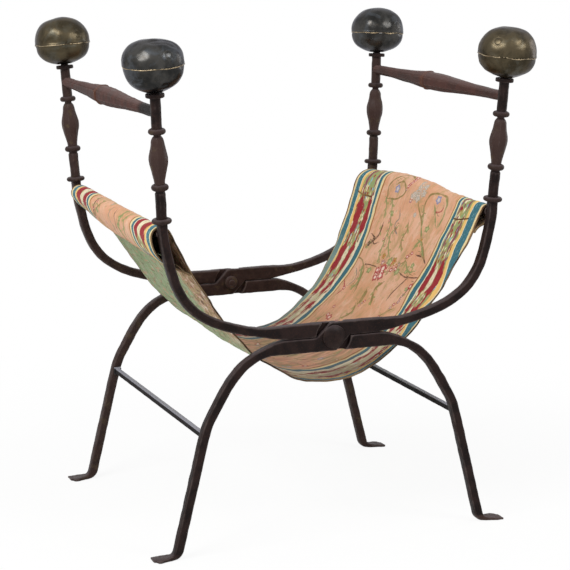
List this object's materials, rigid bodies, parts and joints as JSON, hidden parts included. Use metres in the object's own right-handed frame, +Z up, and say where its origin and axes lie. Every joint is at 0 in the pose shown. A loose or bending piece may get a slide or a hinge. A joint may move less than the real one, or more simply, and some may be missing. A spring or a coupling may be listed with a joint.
{
  "type": "folding x-frame armchair",
  "caption": "Folding armchair: two crossed wrought-iron end frames on riveted pivots, round brass knobs on the arm posts, and a printed cloth seat slung between two rods.",
  "frame": {"origin": "on the floor under the middle of the chair, midway between the end frames and the feet", "axes": "+Z up, +X towards the right arm rail, +Y from the near end frame to the far one"},
  "size_m": [0.7104, 0.6208, 0.847],
  "materials": {
    "black_iron": "forged, waxed, brown-black with worn lighter edges",
    "brown_iron": "forged, reddish-brown oxide, worn facets",
    "grey_iron": "forged, greyer and drier than the bars",
    "aged_brass": "dark patina, polished by hands, dented sheet",
    "seam_brass": "bright worn seam",
    "printed_cloth": "faded printed cotton, salmon ground with flowered stripes"
  },
  "bodies": {
    "left_arm_frame": {"far_left_arm_bar": "black_iron", "far_left_cap_disc": "black_iron", "far_left_knob_bottom": "aged_brass", "far_left_knob_nut": "black_iron", "far_left_knob_seam": "seam_brass", "far_left_knob_top": "aged_brass", "far_left_lower_ring": "brown_iron", "far_left_middle_ring": "brown_iron", "far_left_upper_ring": "brown_iron", "far_pivot_rivet": "black_iron", "far_pivot_rove": "black_iron", "left_arm_rail": "brown_iron", "left_seat_rod": "black_iron", "left_sling_half": "printed_cloth", "near_left_arm_bar": "black_iron", "near_left_cap_disc": "black_iron", "near_left_knob_bottom": "aged_brass", "near_left_knob_nut": "black_iron", "near_left_knob_seam": "seam_brass", "near_left_knob_top": "aged_brass", "near_left_lower_ring": "brown_iron", "near_left_middle_ring": "brown_iron", "near_left_upper_ring": "brown_iron", "near_pivot_rivet": "black_iron", "near_pivot_rove": "black_iron", "right_stretcher": "grey_iron"},
    "right_arm_frame": {"far_right_arm_bar": "black_iron", "far_right_cap_disc": "black_iron", "far_right_knob_bottom": "aged_brass", "far_right_knob_nut": "black_iron", "far_right_knob_seam": "seam_brass", "far_right_knob_top": "aged_brass", "far_right_lower_ring": "brown_iron", "far_right_middle_ring": "brown_iron", "far_right_upper_ring": "brown_iron", "left_stretcher": "grey_iron", "near_right_arm_bar": "black_iron", "near_right_cap_disc": "black_iron", "near_right_knob_bottom": "aged_brass", "near_right_knob_nut": "black_iron", "near_right_knob_seam": "seam_brass", "near_right_knob_top": "aged_brass", "near_right_lower_ring": "brown_iron", "near_right_middle_ring": "brown_iron", "near_right_upper_ring": "brown_iron", "right_arm_rail": "brown_iron", "right_seat_rod": "black_iron", "right_sling_half": "printed_cloth"}
  },
  "joints": [
    {"name": "frame_fold", "type": "hinge", "parent": "left_arm_frame", "child": "right_arm_frame", "pos_m": [0, 0, 0.349], "axis": [0, -1, 0], "range_deg": [0, 55]}
  ]
}
